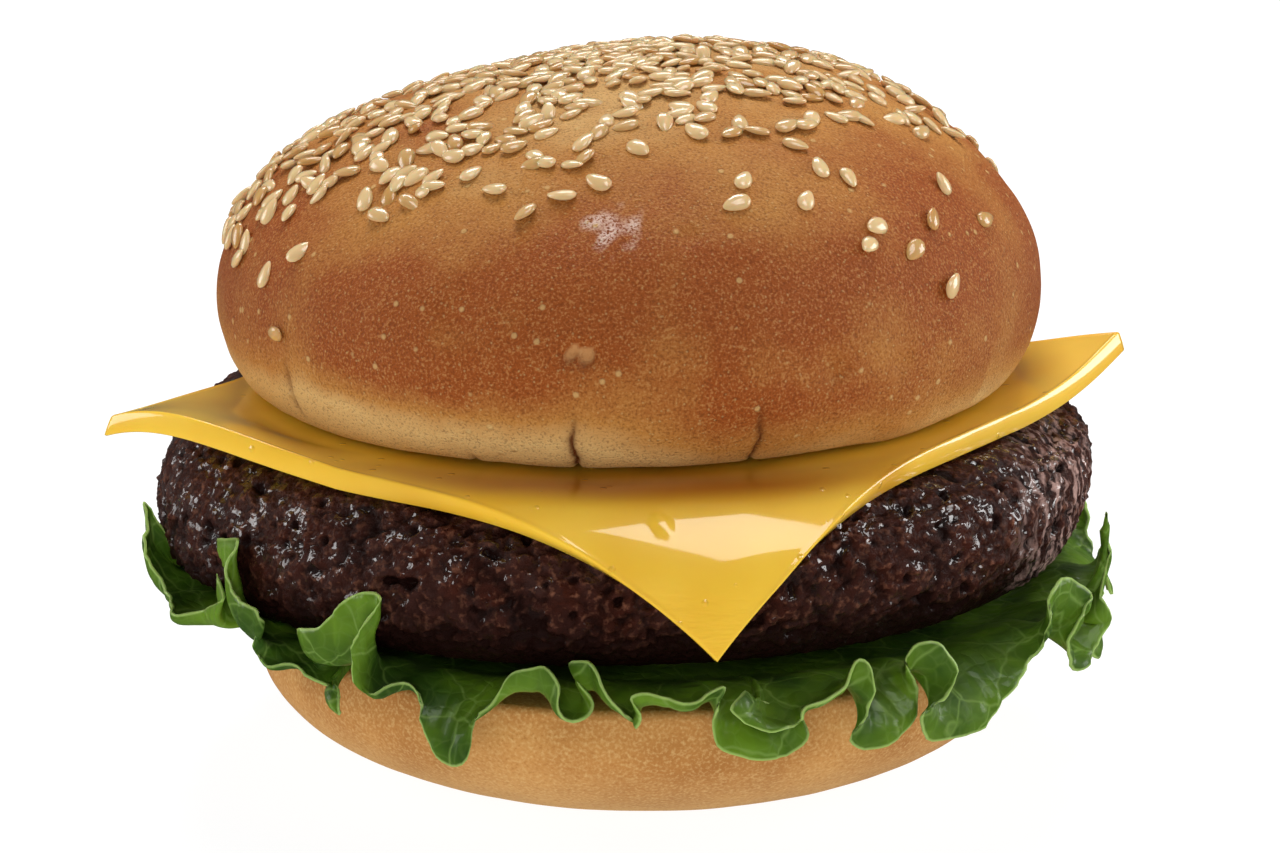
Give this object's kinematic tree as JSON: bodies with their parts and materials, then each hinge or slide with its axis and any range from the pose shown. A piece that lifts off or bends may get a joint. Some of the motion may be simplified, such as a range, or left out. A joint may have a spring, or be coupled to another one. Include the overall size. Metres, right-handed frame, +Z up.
{
  "type": "cheeseburger",
  "caption": "Cheeseburger: domed sesame bun crown, draped cheese slice, thick browned beef patty, ruffled lettuce leaf and bowl-shaped bun heel, stacked.",
  "frame": {"origin": "centre of the flat foot on the underside of the bun heel", "axes": "+Z up through the stack, -Y towards the front, where a corner of the cheese hangs over the patty, +X to the right seen from the front"},
  "size_m": [0.1211, 0.1207, 0.0858],
  "materials": {
    "crust": "baked golden brown crust, dull with a soft sheen, with cream sesame seeds baked on",
    "crumb_side": "baked tan bun side, dry and matt with fine pores",
    "beef": "grilled ground beef, dark brown, craggy and greasy with small highlights",
    "cheese": "smooth golden yellow processed cheese, softly glossy",
    "lettuce": "fresh green leaf with a pale edge line and veins, half gloss"
  },
  "bodies": {
    "root": {"bun_heel": "crumb_side", "lettuce_leaf": "lettuce", "beef_patty": "beef", "cheese_slice": "cheese", "bun_crown": "crust"}
  },
  "joints": []
}
